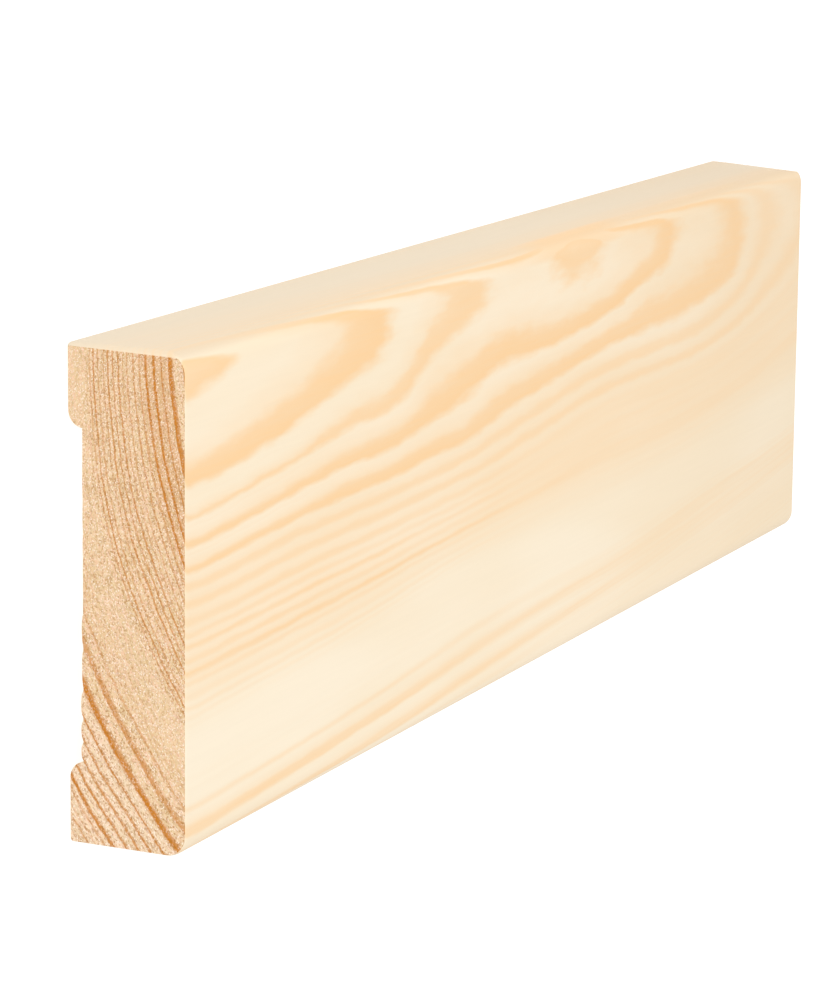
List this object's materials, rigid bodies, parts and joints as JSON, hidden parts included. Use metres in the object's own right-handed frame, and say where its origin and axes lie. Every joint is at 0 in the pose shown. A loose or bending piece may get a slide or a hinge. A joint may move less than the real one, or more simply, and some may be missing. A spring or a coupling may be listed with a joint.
{
  "type": "architrave",
  "caption": "Short flat length of pencil rounded softwood architrave, square cut at both ends, with a shallow relief along its back.",
  "frame": {"origin": "centre of the footprint of the back, on the surface it is fixed to", "axes": "+X along the grain, +Y across the width, +Z out of the rounded face, back lips on z = 0"},
  "size_m": [0.24, 0.069, 0.018],
  "materials": {
    "planed_pine": "planed, unfinished, matt"
  },
  "bodies": {
    "root": {"architrave": "planed_pine"}
  },
  "joints": []
}
